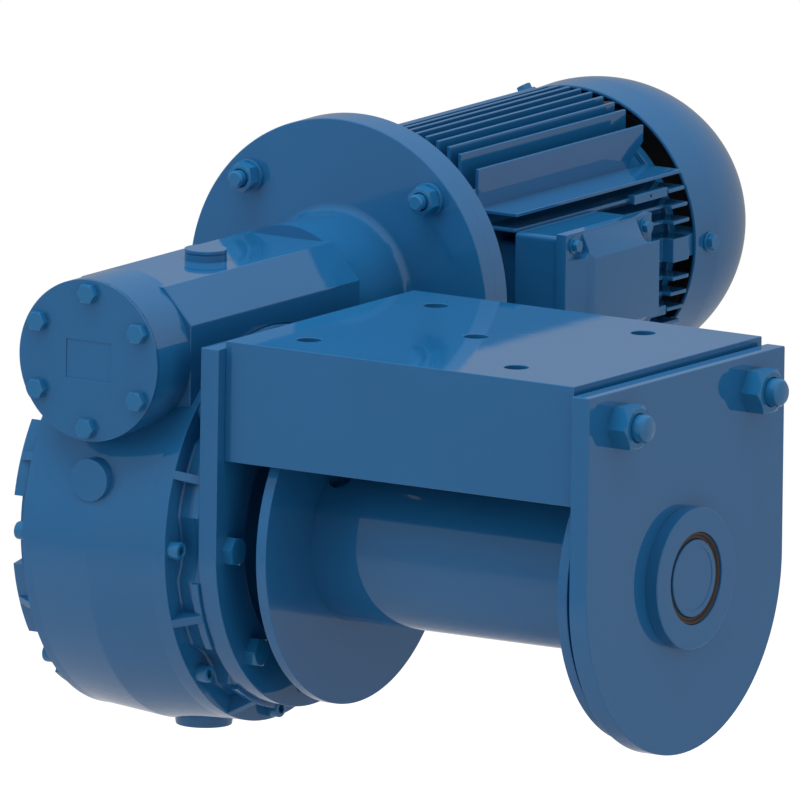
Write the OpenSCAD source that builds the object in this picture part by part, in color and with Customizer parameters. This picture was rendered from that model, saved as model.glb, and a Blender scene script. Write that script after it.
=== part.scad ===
// Electric worm gear winch, hung by its mounting plate. The origin is the middle
// of the mounting face, X runs along the drum, Y along the motor, Z is up.

/* [Side plates] */
// Thickness of each side plate
plate_t = 15; // [12:0.5:20]
// Width of each side plate, which is also the diameter of its round foot
plate_w = 255; // [252:1:270]
// Height of a side plate's top edge above the drum's axis
plate_rise = 147.4; // [146:0.1:160]
// Clear distance between the two side plates
plate_gap = 298; // [296:1:340]
// Hole in the gear side plate round the gearbox spigot
spigot_hole_d = 180; // [170:1:184]

/* [Mounting channel] */
// Thickness of the mounting plate
mount_t = 12; // [8:0.5:14]
// Length of the mounting plate and its aprons along the drum
mount_l = 294; // [270:1:295]
// Depth of the mounting plate from front to back
mount_depth = 245; // [240:1:246]
// Height of the mounting face above the side plates' top edges
mount_over = 5; // [3:0.5:8]
// Height of each apron, measured from the mounting face
apron_h = 86.7; // [60:0.1:88]
// Thickness of each apron
apron_t = 10; // [6:0.5:10]
// Distance of the drum's axis in front of the hole pattern's centre
drum_ahead = 4; // [3:0.1:5]
// Distance from the gear side plate to the hole pattern's centre
holes_from_gear = 132; // [120:1:145]
// Diameter of the mounting holes
mount_hole_d = 17.5; // [13:0.5:20]
// Spacing of the corner holes along the drum
mount_hole_dx = 175; // [150:1:200]
// Spacing of the corner holes across the drum
mount_hole_dy = 165; // [140:1:185]

/* [Tie rods] */
// Thread diameter of the tie rods
rod_d = 20; // [16:1:24]
// Distance of each tie rod in front of or behind the drum's axis
rod_reach = 86.8; // [82:0.1:90]
// Depth of the tie rods below the side plates' top edges
rod_drop = 25.3; // [25:0.1:28]
// Width across the flats of the tie rod nuts
rod_nut_af = 30; // [27:1:34]
// Height of the tie rod nuts
rod_nut_h = 16; // [12:0.5:20]
// Length of thread that stands out of each nut
rod_tail = 9; // [4:0.5:14]

/* [Drum] */
// Outer diameter of the barrel
barrel_d = 123.5; // [110:0.5:140]
// Wall of the barrel
barrel_wall = 10; // [8:0.5:14]
// Diameter of the rope flanges
flange_d = 243; // [220:1:243]
// Thickness of each rope flange
flange_t = 8.4; // [6:0.1:12]
// Clear distance between the gear side plate and the near rope flange
gear_side_gap = 29.7; // [22:0.1:34]
// Clear distance between the far rope flange and the bearing side plate
bearing_side_gap = 5.5; // [5:0.1:12]
// Diameter of the drum shaft
shaft_d = 55.7; // [50:0.1:58]
// Diameter of the rope hole through the barrel
rope_hole_d = 18; // [12:1:20]
// Angle of the rope hole round the barrel at rest, from the back
rope_hole_angle = 130; // [100:5:160]

/* [Bearing housing] */
// Outer diameter of the bearing boss
boss_d = 102.2; // [90:0.1:110]
// Height of the bearing boss above its side plate
boss_h = 10.1; // [8:0.1:16]
// Bore of the bearing boss
boss_bore_d = 66.6; // [62:0.1:72]
// Diameter of the boss's spigot in the side plate
boss_spigot_d = 84; // [76:1:88]
// Radial running clearance of the shaft in its bearings
run_fit = 0.05; // [0.02:0.01:0.1]

/* [Gearbox] */
// Distance of the gearbox's middle plane from the gear side plate's inner face
gear_mid = 97.3; // [96:0.1:104]
// Outer diameter of the gear housing at its middle plane
housing_d = 292.4; // [286:0.1:294]
// Outer diameter of the gear housing at its ends
housing_end_d = 283; // [278:1:286]
// Width of the gear housing between its two covers
housing_w = 100; // [98:1:104]
// Width of the inner cover's shoulder, flush with the housing
shoulder_w = 13.3; // [10:0.1:14]
// Width of the outer cover's shoulder, which is narrower
outer_shoulder_w = 7.1; // [7:0.1:8]
// Distance of the outer cover's face from the gearbox's middle plane
outer_reach = 70; // [67:0.1:76]
// Depth of the necked ring between a cover's shoulder and flange
neck_depth = 17.5; // [16:0.1:20]
// Distance of the screws' centres in from the shoulders' edges
screw_inset = 8.5; // [8:0.1:9]
// Depth of the scallops in a cover's flange, beside the screws
scallop_depth = 15.5; // [15.4:0.1:17]
// Radius of the scallops
scallop_r = 47; // [30:1:60]
// Depth of the flange pads between the screws, in from the shoulders' edges
pad_depth = 6.5; // [3:0.1:8]
// Thickness of each cover's flange
cover_flange_t = 9; // [7:0.1:9]
// Thickness of the radial ribs on the covers
rib_t = 6.4; // [4:0.1:8]
// Diameter of the blank oil level boss on the housing's front
level_boss_d = 30.6; // [28:0.1:32]
// Height of the oil level boss above the drum's axis
level_boss_rise = 45; // [42:0.5:50]
// Distance of the oil level boss's face in front of the drum's axis
level_boss_reach = 144.4; // [142:0.1:146]
// Diameter of the drain boss under the housing
drain_boss_d = 46; // [36:1:48]
// Depth of the drain boss's face below the drum's axis
drain_reach = 151; // [150:1:156]
// Distance of the drain boss from the gearbox's middle plane, towards the drum
drain_off = 7; // [0:1:10]
// Number of ribs, flange screws and flange bolts round each cover
around = 8; // [8]
// Circle of the bolts that hold the gear side plate to the gearbox
plate_bolt_circle_d = 219; // [208:1:222]

/* [Worm housing] */
// Distance of the worm's axis above the drum's axis
centre_dist = 131.6; // [131:0.1:136]
// Diameter of the worm housing's round snout and of its end cover
snout_d = 116.5; // [108:0.5:117]
// Distance of the end cover's face in front of the drum's axis
snout_reach = 146.9; // [140:0.1:155]
// Thickness of the end cover
end_cover_t = 12; // [8:0.5:16]
// Length of the snout from its face to the faceted body
snout_l = 44; // [36:1:50]
// Height of the faceted body's flat top above the worm's axis
body_top = 50.3; // [48:0.1:54]
// Half the width of the faceted body's flat top
body_top_half = 35; // [30:0.5:38]
// Height of the facet's lower edge above the worm's axis
body_facet = 25; // [20:0.5:30]
// Circle of the end cover's six bolts
end_bolt_circle_d = 97; // [94:1:99]
// Width of the end cover's shallow recess
recess_l = 37.5; // [30:0.5:40]
// Height of the end cover's shallow recess
recess_h = 28; // [20:1:30]
// Diameter of the round neck that carries the motor
motor_neck_d = 117; // [112:1:117]
// Distance of the neck's front end behind the drum's axis
neck_start = 117; // [110:1:120]
// Radius of the fillet between the neck and its flange
neck_fillet = 6; // [3:0.5:8]

/* [Motor flange] */
// Distance of the flange's face behind the drum's axis
flange_face = 178; // [175:0.5:186]
// Diameter of the motor flange
motor_flange_d = 250; // [240:1:256]
// Thickness of the gearbox's half of the flange pair
adapter_t = 14; // [10:0.5:16]
// Thickness of the motor's half of the flange pair
motor_flange_t = 14.5; // [12:0.5:18]
// Circle of the four flange studs
stud_circle_d = 215; // [205:1:218]
// Thread diameter of the flange studs
stud_d = 12; // [10:1:14]

/* [Motor] */
// Diameter of the motor's frame at the root of its fins
frame_d = 162; // [156:1:166]
// Height of the cooling fins above the frame
fin_h = 23; // [18:0.5:24]
// Distance of the fins' front ends behind the drum's axis
fin_start = 262; // [256:1:272]
// Length of the cooling fins
fin_l = 215; // [200:1:218]
// Distance between the upright cooling fins
fin_pitch = 11.5; // [11:0.1:12]
// Thickness of the cooling fins
fin_t = 2.6; // [2:0.1:3.4]
// Distance between the level cooling fins at the sides
level_pitch = 11.2; // [11:0.1:12]
// Thickness of the broad level fin in the middle of each side
broad_fin_t = 17; // [14:0.5:20]
// Length of the small pads on the outermost level fins of the near side
fin_pad_l = 43; // [36:1:50]
// Height of the near level fins in front of their step
low_fin_h = 9.8; // [8:0.1:12]
// Length of the full-height rear part of those level fins
fin_step_l = 22; // [16:1:28]
// Length and height of the slanted cut in the outermost upright fins' rear ends
fin_cut = 17; // [10:1:18]
// Diameter of the motor shaft
motor_shaft_d = 28; // [24:1:32]
// Diameter of the rear shield's bearing seat
bearing_seat_d = 80; // [70:1:90]
// Length of the rear shield with its bearing seat
shield_l = 18; // [14:1:20]

/* [Fan cowl] */
// Largest diameter of the cowl
cowl_d = 208; // [206:1:214]
// Radius of the cowl's domed end
cowl_dome_r = 122; // [115:1:130]
// Length of the cowl's straight part, in front of its domed end
cowl_straight = 27; // [24:1:30]
// Wall of the cowl
cowl_wall = 2.4; // [2:0.1:3]
// Gap between the fins' rear ends and the cowl's front edge
cowl_gap = 9; // [6:0.5:11]
// Length of the cowl
cowl_l = 112; // [110:1:118]
// Radius of the round air inlet in the cowl's rear face
inlet_r = 52; // [46:0.5:56]
// Diameter of the fan
fan_d = 172; // [150:1:176]
// Number of fan blades
blades = 9; // [5:1:11]
// Diameter of the fan's hub
hub_d = 60; // [50:1:70]
// Length of the fan's hub
hub_l = 30; // [24:1:34]

/* [Terminal box] */
// Distance of the box's lid rim from the motor's axis
box_reach = 140; // [136:0.5:150]
// Length of the lid along the motor
lid_l = 111.5; // [106:0.5:114]
// Height of the lid
lid_h = 90; // [84:1:96]
// Distance of the lid's front edge behind the drum's axis
lid_start = 258.6; // [256:0.1:264]
// Depth of the box's base, from its seat to the lid
box_depth = 36.8; // [30:0.1:38]
// Thickness of the lid's rim
lid_rim = 8.4; // [6:0.1:10]
// Height of the lid's raised middle above its rim
lid_rise = 9; // [6:0.5:12]
// Length of the corner pockets for the lid's screws
pocket_l = 21; // [18:0.5:23]
// Height of the corner pockets for the lid's screws
pocket_h = 18.4; // [15:0.1:19]
// Length of the neck between the motor's frame and the box
box_neck_l = 84; // [70:1:90]
// Height of the neck between the motor's frame and the box
box_neck_h = 64; // [50:1:70]

/* [Hidden] */
$fn = 96;

eps = 0.01;
gear_side_x = -mount_l / 2;
holes_x = gear_side_x + holes_from_gear;
drum_z = -mount_over - plate_rise;
worm_z = drum_z + centre_dist;
plate_outer = plate_gap + plate_t;
barrel_x0 = gear_side_gap;
barrel_x1 = plate_gap - bearing_side_gap;
rod_z = plate_rise - rod_drop;
thread_fit = 0.05;
end_play = 1;
saddle_gap = 0.3;
ring_step = 360 / around;
screw_head_d = 13;
screw_head_h = 9;
end_bolt_af = 13;
m12_af = 19;
washer_d = 24;
washer_t = 2.5;
fin_tip_d = frame_d + 2 * fin_h;
low_tip_d = frame_d + 2 * low_fin_h;
// Height above the motor's axis where the outermost upright fins' rear edges start to slant
cut_top = sqrt(pow(fin_tip_d / 2, 2) - pow(5.5 * fin_pitch, 2)) - 12;

// Frame of the drum: x from the gear side plate's inner face, y and z from the drum's axis
module at_drum() translate([gear_side_x, -drum_ahead, drum_z]) children();
// Frame of the worm and motor: x and z from their axis, y from the drum's axis
module at_worm() translate([gear_side_x - gear_mid, -drum_ahead, worm_z]) children();
// A flat (y, z) outline from x0 to x1
module along_x(x0, x1) translate([x0, 0, 0]) rotate([90, 0, 90]) linear_extrude(x1 - x0) children();
// A flat (x, z) outline from y0 to y1
module along_y(y0, y1) translate([0, y1, 0]) rotate([90, 0, 0]) linear_extrude(y1 - y0) children();
module rod_x(d, x0, x1) translate([x0, 0, 0]) rotate([0, 90, 0]) cylinder(d = d, h = x1 - x0);
module rod_y(d, y0, y1) translate([0, y0, 0]) rotate([-90, 0, 0]) cylinder(d = d, h = y1 - y0);
// A round body about X or Y from its profile of [along, radius] points
module turned_x(profile) rotate([0, 90, 0]) rotate_extrude() polygon([for (p = profile) [p[1], p[0]]]);
module turned_y(profile) rotate([-90, 0, 0]) rotate_extrude() polygon([for (p = profile) [p[1], p[0]]]);
// A child set out on the plane across X at an angle from the back
module round_x(angle, r) rotate([angle, 0, 0]) translate([0, r, 0]) children();
// A child set out on the plane across Y at an angle from +X towards the top
module round_y(angle, r) rotate([0, -angle, 0]) translate([r, 0, 0]) children();
// A hexagon head or nut along Z, of width across flats af
module hex(af, h) cylinder(d = af / cos(30), h = h, $fn = 6);

module side_plate_outline() {
    translate([-plate_w / 2, 0]) square([plate_w, plate_rise]);
    circle(d = plate_w);
}

module gear_side_plate() color("steelblue") at_drum() difference() {
    along_x(-plate_t, 0) side_plate_outline();
    rod_x(spigot_hole_d, -plate_t - 1, 1);
    for (k = [0 : around - 1]) round_x(k * ring_step, plate_bolt_circle_d / 2) rod_x(13, -plate_t - 1, 1);
    for (y = [-rod_reach, rod_reach]) translate([0, y, rod_z]) rod_x(rod_d + 2 * thread_fit, -plate_t - 1, 1);
}

module bearing_side_plate() color("steelblue") at_drum() difference() {
    along_x(plate_gap, plate_outer) side_plate_outline();
    rod_x(boss_spigot_d, plate_gap - 1, plate_outer + 1);
    for (y = [-rod_reach, rod_reach]) translate([0, y, rod_z]) rod_x(rod_d + 1, plate_gap - 1, plate_outer + 1);
}

module mounting_plate() color("steelblue") difference() {
    translate([gear_side_x, -mount_depth / 2, -mount_t]) cube([mount_l, mount_depth, mount_t]);
    translate([holes_x, 0, -mount_t - 1]) {
        cylinder(d = mount_hole_d, h = mount_t + 2);
        for (x = [-0.5, 0.5], y = [-0.5, 0.5])
            translate([x * mount_hole_dx, y * mount_hole_dy, 0]) cylinder(d = mount_hole_d, h = mount_t + 2);
    }
}

module apron(y0) color("steelblue")
    translate([gear_side_x, y0, -apron_h]) cube([mount_l, apron_t, apron_h - mount_t]);
module front_apron() apron(-mount_depth / 2);
module rear_apron() apron(mount_depth / 2 - apron_t);

module tie_rod(y) color("steelblue") at_drum() translate([0, y, rod_z]) {
    tail = plate_outer + rod_nut_h + rod_tail;
    turned_x([[-plate_t + 1, 0], [-plate_t + 1, rod_d / 2], [tail - 2.5, rod_d / 2],
        [tail, rod_d / 2 - 2.5], [tail, 0]]);
}
module front_tie_rod() tie_rod(-rod_reach);
module rear_tie_rod() tie_rod(rod_reach);

module tie_rod_nuts() color("steelblue") at_drum() for (y = [-rod_reach, rod_reach])
    translate([plate_outer, y, rod_z]) rotate([0, 90, 0]) difference() {
        hex(rod_nut_af, rod_nut_h);
        translate([0, 0, -1]) cylinder(d = rod_d + 2 * thread_fit, h = rod_nut_h + 2);
    }

module bearing_boss() color("steelblue") at_drum() turned_x([
    [plate_gap, boss_bore_d / 2], [plate_gap, boss_spigot_d / 2 - thread_fit],
    [plate_outer, boss_spigot_d / 2 - thread_fit], [plate_outer, boss_d / 2],
    [plate_outer + boss_h - 1.2, boss_d / 2], [plate_outer + boss_h, boss_d / 2 - 1.2],
    [plate_outer + boss_h, boss_bore_d / 2]
]);

module shaft_bearing() color("silver") at_drum() turned_x([
    [plate_gap + 1, shaft_d / 2 + run_fit], [plate_gap + 1, boss_bore_d / 2 - thread_fit],
    [plate_outer, boss_bore_d / 2 - thread_fit], [plate_outer, shaft_d / 2 + run_fit]
]);

module shaft_seal() color([0.16, 0.1, 0.08]) at_drum() turned_x([
    [plate_outer + 0.5, shaft_d / 2 + 0.3], [plate_outer + 0.5, boss_bore_d / 2 - thread_fit],
    [plate_outer + boss_h - 1.5, boss_bore_d / 2 - thread_fit], [plate_outer + boss_h - 3, shaft_d / 2 + 0.3]
]);

module drum_barrel() color("steelblue") at_drum() difference() {
    rod_x(barrel_d, barrel_x0 + flange_t, barrel_x1 - flange_t);
    rod_x(barrel_d - 2 * barrel_wall, barrel_x0, barrel_x1);
    round_x(rope_hole_angle, 0) translate([barrel_x0 + flange_t + rope_hole_d / 2 + 0.5, 0, 0])
        rod_y(rope_hole_d, 0, barrel_d);
}

module rope_flange(x) color("steelblue") at_drum() difference() {
    rod_x(flange_d, x, x + flange_t);
    rod_x(shaft_d, x - 1, x + flange_t + 1);
}
module gear_side_rope_flange() rope_flange(barrel_x0);
module bearing_side_rope_flange() rope_flange(barrel_x1 - flange_t);

shaft_x0 = -plate_t - cover_flange_t;
shaft_x1 = plate_outer + boss_h - 1.5;
module drum_shaft() color("steelblue") at_drum() turned_x([
    [shaft_x0, 0], [shaft_x0, shaft_d / 2], [shaft_x1 - 1, shaft_d / 2], [shaft_x1, shaft_d / 2 - 1],
    [shaft_x1, shaft_d / 2 - 4.6], [shaft_x1 - 0.6, shaft_d / 2 - 4.8], [shaft_x1 - 0.6, 0]
]);

inner_reach = gear_mid - plate_t;
end_r = housing_end_d / 2;
neck_r = end_r - neck_depth;
pad_r = end_r - pad_depth;
body_y0 = -snout_reach + snout_l;
module gear_housing() color("steelblue") {
    at_gear_mid() {
        turned_x([[-housing_w / 2, 0], [-housing_w / 2, housing_end_d / 2], [0, housing_d / 2],
            [housing_w / 2, housing_end_d / 2], [housing_w / 2, 0]]);
        translate([0, 0, level_boss_rise]) rod_y(level_boss_d, -level_boss_reach, -housing_d / 3);
        translate([drain_off, 0, -drain_reach]) cylinder(d1 = drain_boss_d - 6, d2 = drain_boss_d, h = 20);
    }
    difference() {
        at_worm() {
            rod_y(snout_d, -snout_reach + end_cover_t, body_y0 + eps);
            along_y(body_y0, neck_start) polygon([
                [-snout_d / 2, -housing_w / 2], [-snout_d / 2, body_facet], [-body_top_half, body_top],
                [body_top_half, body_top], [snout_d / 2, body_facet], [snout_d / 2, -housing_w / 2]
            ]);
        }
        // The body's sides stand over the covers, whose rims pass under them
        for (s = [0, 1]) mirror_at_gear_mid(s)
            rod_x(housing_end_d + 2 * saddle_gap, housing_w / 2, snout_d / 2 + 1);
    }
}

// A cover: shoulder flush with the housing, necked ring with ribs, flange with pads
module side_cover(shoulder, reach) {
    x0 = housing_w / 2;
    x1 = x0 + shoulder;
    turned_x([[x0, 0], [x0, end_r], [x1 - 1.5, end_r - 0.3], [x1, end_r - 1.8], [x1, neck_r], [reach, neck_r], [reach, 0]]);
    for (k = [0 : around - 1]) round_x((k + 0.5) * ring_step, 0)
        translate([0, 0, -rib_t / 2]) linear_extrude(rib_t) polygon([
            [x1 - 1, neck_r - 4], [x1 - 1, end_r - 2], [reach - 1, pad_r - 0.5], [reach - 1, neck_r - 4]
        ]);
    along_x(reach - cover_flange_t, reach) difference() {
        circle(pad_r);
        for (k = [0 : around - 1]) rotate(k * ring_step)
            translate([end_r - scallop_depth + scallop_r, 0]) circle(scallop_r);
    }
}
module at_gear_mid() at_drum() translate([-gear_mid, 0, 0]) children();
module mirror_at_gear_mid(far) at_gear_mid() mirror([far, 0, 0]) children();

module inner_cover() color("steelblue") at_gear_mid() difference() {
    union() {
        side_cover(shoulder_w, inner_reach);
        rod_x(spigot_hole_d - 0.4, inner_reach - eps, inner_reach + plate_t - 3);
    }
    rod_x(shaft_d + 2 * run_fit, gear_mid + shaft_x0 - end_play, inner_reach + plate_t);
}
module outer_cover() color("steelblue") at_gear_mid() rotate([0, 0, 180]) side_cover(outer_shoulder_w, outer_reach);

module cover_screws(shoulder) for (k = [0 : around - 1])
    round_x(k * ring_step, end_r - screw_inset) translate([housing_w / 2 + shoulder, 0, 0])
        difference() {
            rod_x(screw_head_d, 0, screw_head_h);
            translate([screw_head_h / 2, 0, 0]) rotate([0, 90, 0]) hex(screw_head_d / 2 - 0.5, screw_head_h);
        }
module inner_cover_screws() color("steelblue") at_gear_mid() cover_screws(shoulder_w);
module outer_cover_screws() color("steelblue") at_gear_mid() rotate([0, 0, 180]) cover_screws(outer_shoulder_w);

module side_plate_bolts() color("steelblue") at_drum() for (k = [0 : around - 1])
    round_x(k * ring_step, plate_bolt_circle_d / 2) {
        rotate([0, 90, 0]) hex(m12_af, 8);
        rod_x(12, -plate_t + 0.5, eps);
    }

cap_y = 5;
module oil_filler_cap() color("steelblue") at_worm() translate([0, cap_y, body_top])
    rotate_extrude() polygon([[0, 0], [15, 0], [15, 4.6], [14.2, 4.8], [14.2, 5.4], [15.2, 5.6], [15.2, 8], [0, 8]]);

module worm_end_cover() color("steelblue") at_worm() difference() {
    rod_y(snout_d, -snout_reach, -snout_reach + end_cover_t);
    translate([-recess_l / 2, -snout_reach - 1, -recess_h / 2]) cube([recess_l, 1.8, recess_h]);
}

module worm_cover_bolts() color("steelblue") at_worm() for (k = [0 : 5])
    round_y(90 + k * 60, end_bolt_circle_d / 2) translate([0, -snout_reach, 0]) rotate([90, 0, 0])
        hex(end_bolt_af, 5.5);

module motor_adapter() color("steelblue") difference() {
    at_worm() turned_y(concat(
        [[neck_start, 0], [neck_start, motor_neck_d / 2]],
        [for (a = [0 : 18 : 90]) [flange_face + neck_fillet * (sin(a) - 1),
            motor_neck_d / 2 + neck_fillet * (1 - cos(a))]],
        [[flange_face, motor_flange_d / 2], [motor_face, motor_flange_d / 2], [motor_face, 0]]
    ));
    at_worm() for (k = [0 : 3]) round_y(45 + k * 90, stud_circle_d / 2)
        rod_y(stud_d + 1, flange_face - 1, flange_face + adapter_t + 1);
    at_gear_mid() rod_x(housing_d + 2 * saddle_gap, -motor_neck_d, motor_neck_d);
}

motor_face = flange_face + adapter_t;
module motor_flange() color("steelblue") at_worm() difference() {
    turned_y([[motor_face, 0], [motor_face, motor_flange_d / 2], [motor_face + motor_flange_t, motor_flange_d / 2],
        [motor_face + motor_flange_t, frame_d / 2 + 12], [fin_start - 14, frame_d / 2 + 4], [fin_start - 14, 0]]);
    for (k = [0 : 3]) round_y(45 + k * 90, stud_circle_d / 2) rod_y(stud_d + 1, motor_face - 1, motor_face + 15.5);
}

module flange_studs() color("steelblue") at_worm() for (k = [0 : 3])
    round_y(45 + k * 90, stud_circle_d / 2) {
        rod_y(stud_d, flange_face - 19, motor_face + motor_flange_t);
        translate([0, flange_face - washer_t, 0]) rotate([90, 0, 0]) hex(m12_af, 10);
        rod_y(washer_d, flange_face - washer_t, flange_face);
        translate([0, motor_face + motor_flange_t, 0]) rotate([-90, 0, 0]) hex(m12_af, 7.5);
    }

fin_end = fin_start + fin_l;
module motor_frame() color("steelblue") at_worm() rod_y(frame_d, fin_start - 14, fin_end + 2);

// Fins inside the tip circle, cut off at the frame's surface
module fins_in_ring(y0 = fin_start, y1 = fin_end) along_y(y0, y1) intersection() {
    difference() {
        circle(d = fin_tip_d);
        circle(d = frame_d);
    }
    children();
}
module upright_fins() for (k = [-5.5 : 1 : 5.5]) translate([k * fin_pitch - fin_t / 2, 0]) square([fin_t, fin_tip_d]);
module upright_set() difference() {
    fins_in_ring() upright_fins();
    // The outermost fins' rear ends slant forwards below their tips
    for (s = [0, 1]) mirror([s, 0, 0]) along_x(5 * fin_pitch, fin_tip_d) polygon([
        [fin_end + 1, cut_top + 0.75], [fin_end + 1, 0], [fin_end - fin_cut, 0],
        [fin_end - fin_cut, cut_top - 0.75 * fin_cut]
    ]);
}
module top_fins() color("steelblue") at_worm() upright_set();
module bottom_fins() color("steelblue") at_worm() mirror([0, 0, 1]) upright_set();
// The side fins' middle planes stand at first_level + k * level_pitch
first_level = 1.8 * level_pitch;
module level_fins() {
    for (s = [-1, 1], k = [0 : 2])
        translate([0, s * (first_level + k * level_pitch) - fin_t / 2]) square([fin_tip_d, fin_t]);
    translate([0, -broad_fin_t / 2]) square([fin_tip_d, broad_fin_t]);
}
// The fins that close the corners stand out from the outermost upright fins
module corner_fins() for (s = [-1, 1])
    translate([5.5 * fin_pitch + fin_t / 2, s * (first_level + 3 * level_pitch) - fin_t / 2])
        square([fin_tip_d, fin_t]);
module near_side_fins() color("steelblue") at_worm() difference() {
    union() {
        fins_in_ring() corner_fins();
        fins_in_ring() intersection() {
            circle(d = low_tip_d);
            level_fins();
        }
        fins_in_ring(y0 = fin_end - fin_step_l) level_fins();
        // Small pads stand on the tips of the outermost level fins
        for (s = [-1, 1]) translate([fin_pad_x0, fin_end - fin_step_l - fin_pad_l, -fin_pad_h / 2])
            translate([0, 0, s * (first_level + 2 * level_pitch)]) cube([fin_pad_x1 - fin_pad_x0, fin_pad_l, fin_pad_h]);
    }
    translate([0, fin_start - 1, -box_neck_h / 2 - box_clear])
        cube([fin_tip_d, lid_mid + box_neck_l / 2 + box_clear - fin_start + 1, box_neck_h + 2 * box_clear]);
}
fin_pad_h = 6.6;
fin_pad_x0 = low_tip_d / 2 - 13;
fin_pad_x1 = fin_tip_d / 2 - 7;
module far_side_fins() color("steelblue") at_worm() mirror([1, 0, 0]) fins_in_ring() {
    level_fins();
    corner_fins();
}

module rear_end_shield() color("steelblue") at_worm() {
    turned_y([[fin_end + 2, 0], [fin_end + 2, frame_d / 2 + 4], [fin_end + 12, frame_d / 2 + 4],
        [fin_end + 2 + shield_l, bearing_seat_d / 2], [fin_end + 2 + shield_l, 0]]);
    intersection() {
        for (k = [0 : 2]) round_y(k * 120, 0) translate([frame_d / 2 - 10, fin_end + 2, -8])
            cube([cowl_d / 2 - frame_d / 2 + 10, cowl_gap + 19, 16]);
        rod_y(cowl_d - 2 - 2 * cowl_wall - 0.3, fin_end, fin_end + cowl_gap + 30);
    }
}

cowl_y0 = fin_end + cowl_gap;
cowl_y1 = cowl_y0 + cowl_l;
dome_y = cowl_y0 + cowl_straight;
function dome_r(y, r) = cowl_d / 2 - r + sqrt(r * r - pow(max(y - dome_y, 0), 2));
cowl_steps = [for (k = [0 : 12]) dome_y + k * (cowl_y1 - 12 - dome_y) / 12];
module fan_cowl() color("steelblue") at_worm() turned_y(concat(
    [[cowl_y0, cowl_d / 2 - 1 - cowl_wall], [cowl_y0, cowl_d / 2 - 1]],
    [for (y = cowl_steps) [y, dome_r(y, cowl_dome_r)]],
    [[cowl_y1 - 3, dome_r(cowl_y1 - 12, cowl_dome_r) - 10], [cowl_y1, dome_r(cowl_y1 - 12, cowl_dome_r) - 14],
     [cowl_y1, inlet_r], [cowl_y1 - cowl_wall, inlet_r]],
    [for (k = [12 : -1 : 0]) let (y = cowl_steps[k]) [y, dome_r(y, cowl_dome_r) - cowl_wall]]
));

guard_wire = 3;
ring_pitch = 8;
module fan_guard() color("steelblue") at_worm() {
    for (r = [10 : ring_pitch : inlet_r - 1]) turned_y([[cowl_y1 - guard_wire, r - 1.2],
        [cowl_y1 - guard_wire, r + 1.2], [cowl_y1, r + 1.2], [cowl_y1, r - 1.2]]);
    for (k = [0 : 7]) round_y(k * 45, 0) translate([9, cowl_y1 - guard_wire, -guard_wire / 2])
        cube([inlet_r - 9, guard_wire, guard_wire]);
}

fan_y0 = fin_end + 34;
fan_disc_t = 3;
module fan() color("dimgray") at_worm() {
    rod_y(motor_shaft_d, fin_end + 2 + shield_l, fan_y0 + hub_l + 10);
    rod_y(hub_d, fan_y0, fan_y0 + hub_l);
    // A back plate carries the blades
    rod_y(fan_d, fan_y0, fan_y0 + fan_disc_t);
    for (k = [0 : blades - 1]) round_y(k * 360 / blades, 0)
        translate([hub_d / 2 - 2, fan_y0 + fan_disc_t - eps, -fan_disc_t / 2])
            cube([fan_d / 2 - hub_d / 2 + 1, hub_l - fan_disc_t - 3, fan_disc_t]);
}

module cowl_screws() color("steelblue") at_worm() for (k = [0 : 2])
    round_y(k * 120, cowl_d / 2) translate([0, cowl_y0 + 16, 0]) rotate([0, 90, 0]) hex(10, 5);

box_seat = box_reach - lid_rim - box_depth;
box_clear = 2;
lid_mid = lid_start + lid_l / 2;
module terminal_box() color("steelblue") at_worm() {
    difference() {
        translate([frame_d / 2 - 12, lid_mid - box_neck_l / 2, -box_neck_h / 2])
            cube([box_seat - frame_d / 2 + 13, box_neck_l, box_neck_h]);
        rod_y(frame_d, fin_start - 20, fin_end);
    }
    translate([box_seat, lid_start + 3, -lid_h / 2 + 3]) cube([box_depth, lid_l - 6, lid_h - 6]);
}
module terminal_box_lid() color("steelblue") at_worm() difference() {
    lid_form();
    for (y = [0, 1], z = [0, 1]) translate([0, lid_mid, 0]) mirror([0, y, 0]) mirror([0, 0, z])
        along_x(box_reach, box_reach + lid_rise + 1) translate([lid_l / 2, lid_h / 2]) {
            translate([-pocket_l, -pocket_h + pocket_r]) square([pocket_l + 1, pocket_h]);
            translate([-pocket_l + pocket_r, -pocket_h]) square([pocket_l, pocket_h + 1]);
            translate([-pocket_l + pocket_r, -pocket_h + pocket_r]) circle(pocket_r);
        }
}
pocket_r = 6;
module lid_form() {
    x0 = box_reach - lid_rim;
    translate([x0, lid_start, -lid_h / 2]) cube([lid_rim, lid_l, lid_h]);
    intersection() {
        along_y(lid_start + 1, lid_start + lid_l - 1) polygon([[x0, -lid_h / 2 + 1], [box_reach, -lid_h / 2 + 1],
            [box_reach + lid_rise, -lid_h / 2 + 19], [box_reach + lid_rise, lid_h / 2 - 19],
            [box_reach, lid_h / 2 - 1], [x0, lid_h / 2 - 1]]);
        translate([0, 0, -lid_h / 2]) linear_extrude(lid_h) polygon([[x0, lid_start + 1], [box_reach, lid_start + 1],
            [box_reach + lid_rise, lid_start + 25], [box_reach + lid_rise, lid_start + lid_l - 3],
            [box_reach, lid_start + lid_l - 1], [x0, lid_start + lid_l - 1]]);
    }
}
module lid_screws() color("steelblue") at_worm() for (y = [-1, 1], z = [-1, 1])
    translate([box_reach, lid_mid + y * (lid_l / 2 - 9.9), z * (lid_h / 2 - 8.7)]) rotate([0, 90, 0]) {
        cylinder(d = 12, h = 1.4);
        hex(8, 5.4);
    }
module cable_gland() color("steelblue") at_worm() translate([box_seat + box_depth / 2, lid_mid, -lid_h / 2 + 3])
    rotate([180, 0, 0]) {
        hex(27, 6);
        cylinder(d = 22, h = 10);
    }

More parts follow.
